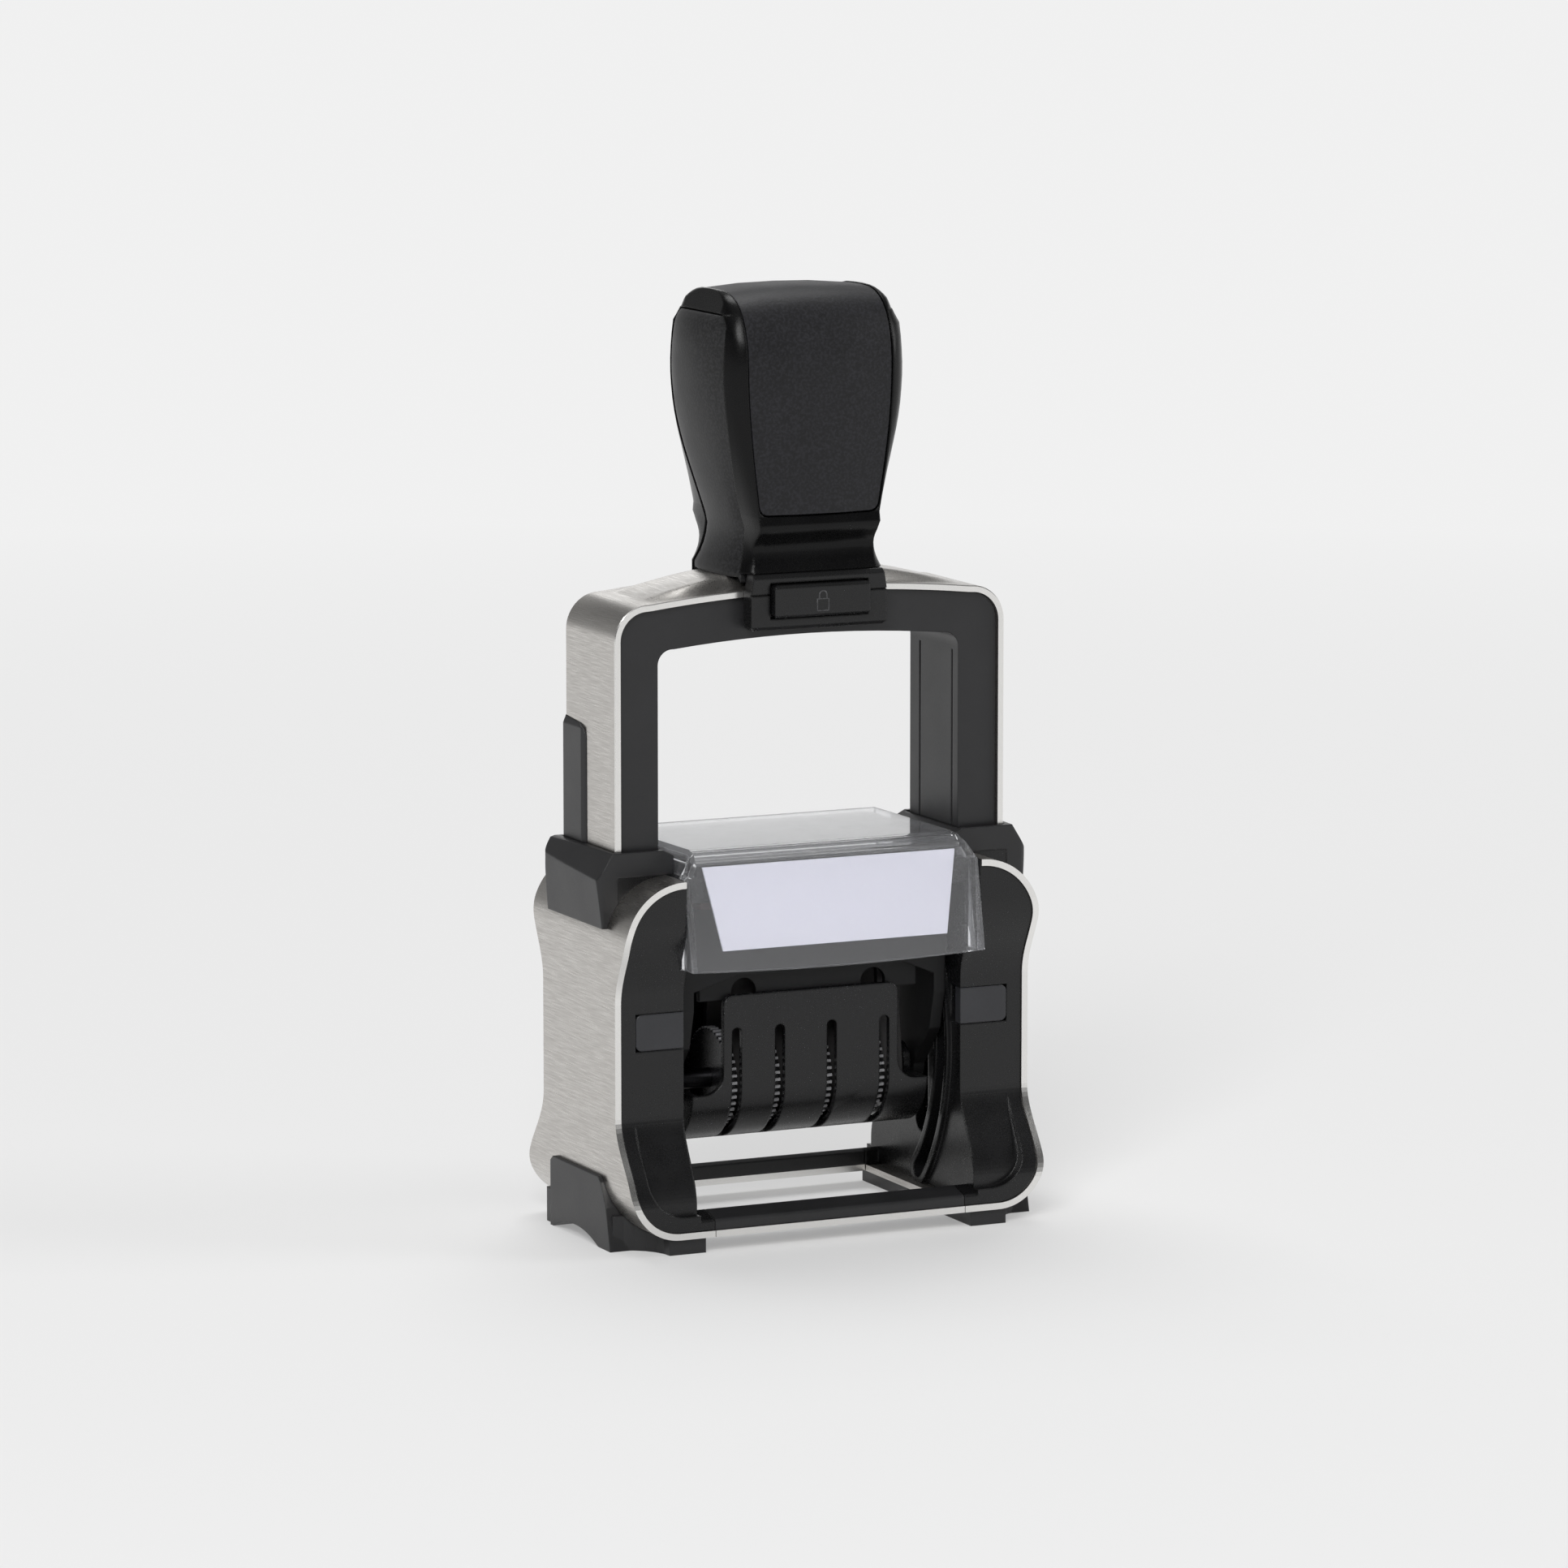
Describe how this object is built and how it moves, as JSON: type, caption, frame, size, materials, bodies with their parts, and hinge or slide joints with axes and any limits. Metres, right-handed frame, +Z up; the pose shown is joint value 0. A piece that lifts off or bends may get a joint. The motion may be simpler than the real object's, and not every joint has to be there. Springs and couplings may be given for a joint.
{
  "type": "date stamp",
  "caption": "Self-inking date stamp with a waisted steel body, a loop handle with a tall grip, a clear card cover and a date unit that turns over on the press stroke.",
  "frame": {"origin": "on the desk under the middle of the stamp, at the underside of the feet", "axes": "+X to the right across the front, +Y to the back, +Z up along the stroke"},
  "size_m": [0.0728, 0.04, 0.1454],
  "materials": {
    "steel": "brushed along the depth",
    "pin_steel": "ground",
    "spring_steel": "drawn wire",
    "black_plastic": "satin moulded",
    "wheel_plastic": "moulded",
    "tray_plastic": "moulded",
    "grip_panel": "fine grain",
    "soft_grip": "soft touch",
    "clear_plastic": "clear, polished",
    "card": "white card",
    "ink_felt": "inked felt",
    "type_rubber": "moulded type",
    "band_rubber": "moulded type"
  },
  "bodies": {
    "body": {"band_left": "steel", "band_right": "steel", "column_left": "black_plastic", "column_right": "black_plastic", "front_bar": "black_plastic", "rear_bar": "black_plastic", "front_strip": "steel", "rear_strip": "steel", "pad_deck": "black_plastic", "shoulder_left": "black_plastic", "shoulder_right": "black_plastic", "foot_left": "black_plastic", "foot_right": "black_plastic", "window_cover": "clear_plastic", "label_card": "card", "return_spring_left": "spring_steel", "return_spring_right": "spring_steel"},
    "ink_cassette": {"pad_tray": "tray_plastic", "ink_pad": "ink_felt"},
    "left_catch": {"catch_left": "black_plastic"},
    "right_catch": {"catch_right": "black_plastic"},
    "handle": {"bracket_band": "steel", "bracket_frame": "black_plastic", "rail_left": "black_plastic", "rail_right": "black_plastic", "grip_core": "black_plastic", "grip_panel": "grip_panel", "grip_side_left": "soft_grip", "grip_side_right": "soft_grip", "lock_collar": "black_plastic", "pivot_pin_left": "pin_steel", "pivot_pin_right": "pin_steel"},
    "lock": {"lock_button": "black_plastic"},
    "date_unit": {"die_frame": "black_plastic", "text_plate": "type_rubber", "wheel_guard": "black_plastic", "wheel_axle": "pin_steel", "guide_pin_left": "pin_steel", "guide_pin_right": "pin_steel", "date_band_1": "band_rubber", "date_band_2": "band_rubber", "date_band_3": "band_rubber", "date_band_4": "band_rubber"},
    "wheel_1": {"band_wheel_1": "wheel_plastic"},
    "wheel_2": {"band_wheel_2": "wheel_plastic"},
    "wheel_3": {"band_wheel_3": "wheel_plastic"},
    "wheel_4": {"band_wheel_4": "wheel_plastic"}
  },
  "joints": [
    {"name": "press_stroke", "type": "slide", "parent": "body", "child": "handle", "axis": [0, 0, -1], "range_m": [0, 0.026], "stiffness_N_per_m": 300, "springref_m": -0.03, "deforming": ["return_spring_left", "return_spring_right"]},
    {"name": "die_flip", "type": "hinge", "parent": "handle", "child": "date_unit", "pos_m": [0, 0, 0.0395], "axis": [1, 0, 0], "range_deg": [0, 180]},
    {"name": "cassette_slide", "type": "slide", "parent": "body", "child": "ink_cassette", "axis": [0, 1, 0], "range_m": [0, 0.034]},
    {"name": "catch_left_press", "type": "slide", "parent": "body", "child": "left_catch", "axis": [0, 1, 0], "range_m": [0, 0.0012], "stiffness_N_per_m": 800, "springref_m": -0.001},
    {"name": "catch_right_press", "type": "slide", "parent": "body", "child": "right_catch", "axis": [0, 1, 0], "range_m": [0, 0.0012], "stiffness_N_per_m": 800, "springref_m": -0.001},
    {"name": "lock_press", "type": "slide", "parent": "handle", "child": "lock", "axis": [0, 1, 0], "range_m": [0, 0.0012], "stiffness_N_per_m": 800, "springref_m": -0.001},
    {"name": "wheel_1_turn", "type": "hinge", "parent": "date_unit", "child": "wheel_1", "pos_m": [0, 0, 0.023], "axis": [1, 0, 0], "continuous": true},
    {"name": "wheel_2_turn", "type": "hinge", "parent": "date_unit", "child": "wheel_2", "pos_m": [0, 0, 0.023], "axis": [1, 0, 0], "continuous": true},
    {"name": "wheel_3_turn", "type": "hinge", "parent": "date_unit", "child": "wheel_3", "pos_m": [0, 0, 0.023], "axis": [1, 0, 0], "continuous": true},
    {"name": "wheel_4_turn", "type": "hinge", "parent": "date_unit", "child": "wheel_4", "pos_m": [0, 0, 0.023], "axis": [1, 0, 0], "continuous": true}
  ],
  "couplings": [
    {"joint": "die_flip", "follows": "press_stroke", "rad_per_m": 120.83}
  ]
}
